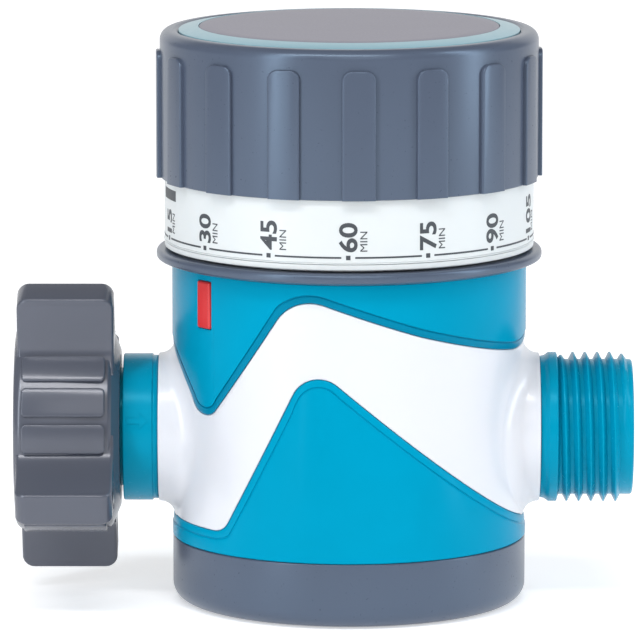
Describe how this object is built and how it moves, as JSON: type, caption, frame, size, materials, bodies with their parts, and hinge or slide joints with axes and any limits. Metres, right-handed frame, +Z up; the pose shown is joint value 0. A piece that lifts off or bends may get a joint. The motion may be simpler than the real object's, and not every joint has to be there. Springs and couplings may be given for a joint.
{
  "type": "drip irrigation timer",
  "caption": "Mechanical hose timer with a ribbed dial, a wave-cut two-tone casing, a swivel coupling nut inlet and a threaded outlet.",
  "frame": {"origin": "centre of the base cap's underside, on the dial axis", "axes": "+Z up along the dial axis, +X along the pipe from inlet to outlet, -Y towards the pointer side"},
  "size_m": [0.111, 0.0692, 0.104],
  "materials": {
    "slate_plastic": "satin moulded ABS",
    "white_plastic": "gloss moulded ABS",
    "teal_plastic": "gloss moulded ABS",
    "red_plastic": "gloss moulded ABS",
    "pale_teal_plastic": "satin moulded ABS",
    "mauve_plastic": "fine matte moulded ABS",
    "valve_plastic": "acetal, as moulded",
    "black_rubber": "moulded NBR",
    "steel": "zinc plated or bright steel",
    "spring_steel": "blued spring strip",
    "brass": "stamped brass"
  },
  "bodies": {
    "casing": {"base_cap": "slate_plastic", "base_screws": "steel", "front_casing": "white_plastic", "rear_casing": "white_plastic", "casing_screws": "steel", "lower_cover": "teal_plastic", "upper_cover": "teal_plastic", "pointer": "red_plastic", "valve_body": "teal_plastic", "seat_gasket": "black_rubber", "stator_disc": "valve_plastic", "bonnet": "white_plastic", "bonnet_seal": "black_rubber", "bonnet_screws": "steel", "inlet_strainer": "steel", "hose_washer": "black_rubber", "movement_tray": "white_plastic", "tray_screws": "steel", "bezel_ring": "slate_plastic", "lower_plate": "brass", "pillars": "steel", "pillar_screws": "steel", "upper_plate": "brass", "plate_screws": "steel", "mainspring": "spring_steel", "spring_post": "steel", "movement_cover": "white_plastic"},
    "dial": {"dial_scale": "white_plastic", "knob": "slate_plastic", "knob_screw": "steel", "knob_trim_ring": "pale_teal_plastic", "knob_disc": "mauve_plastic", "main_arbor": "steel", "main_wheel": "brass", "valve_spindle": "valve_plastic", "rotor_disc": "valve_plastic", "spindle_seals": "black_rubber"},
    "nut": {"coupling_nut": "slate_plastic"},
    "second": {"second_pinion": "steel", "second_wheel": "brass"},
    "third": {"third_pinion": "steel", "third_wheel": "brass"},
    "escape": {"escape_pinion": "steel", "escape_wheel": "brass"},
    "pallet": {"pallet_arbor": "steel", "pallet_lever": "brass", "pallet_pins": "steel"}
  },
  "joints": [
    {"name": "dial_turn", "type": "hinge", "parent": "casing", "child": "dial", "pos_m": [0, 0, 0.078], "axis": [0, 0, 1], "range_deg": [-153.3, 46.7], "deforming": ["mainspring"]},
    {"name": "nut_spin", "type": "hinge", "parent": "casing", "child": "nut", "pos_m": [-0.0505, 0, 0.031], "axis": [1, 0, 0], "continuous": true},
    {"name": "second_turn", "type": "hinge", "parent": "casing", "child": "second", "pos_m": [0, 0.018, 0.078], "axis": [0, 0, 1], "continuous": true},
    {"name": "third_turn", "type": "hinge", "parent": "casing", "child": "third", "pos_m": [-0.01139, 0.01582, 0.078], "axis": [0, 0, 1], "continuous": true},
    {"name": "escape_turn", "type": "hinge", "parent": "casing", "child": "escape", "pos_m": [-0.01806, 0.01071, 0.078], "axis": [0, 0, 1], "continuous": true},
    {"name": "pallet_rock", "type": "hinge", "parent": "casing", "child": "pallet", "pos_m": [-0.0209, 0.00207, 0.078], "axis": [0, 0, 1], "range_deg": [-4, 4]}
  ],
  "couplings": [
    {"joint": "second_turn", "follows": "dial_turn", "ratio": -5},
    {"joint": "third_turn", "follows": "dial_turn", "ratio": 24},
    {"joint": "escape_turn", "follows": "dial_turn", "ratio": -120}
  ]
}
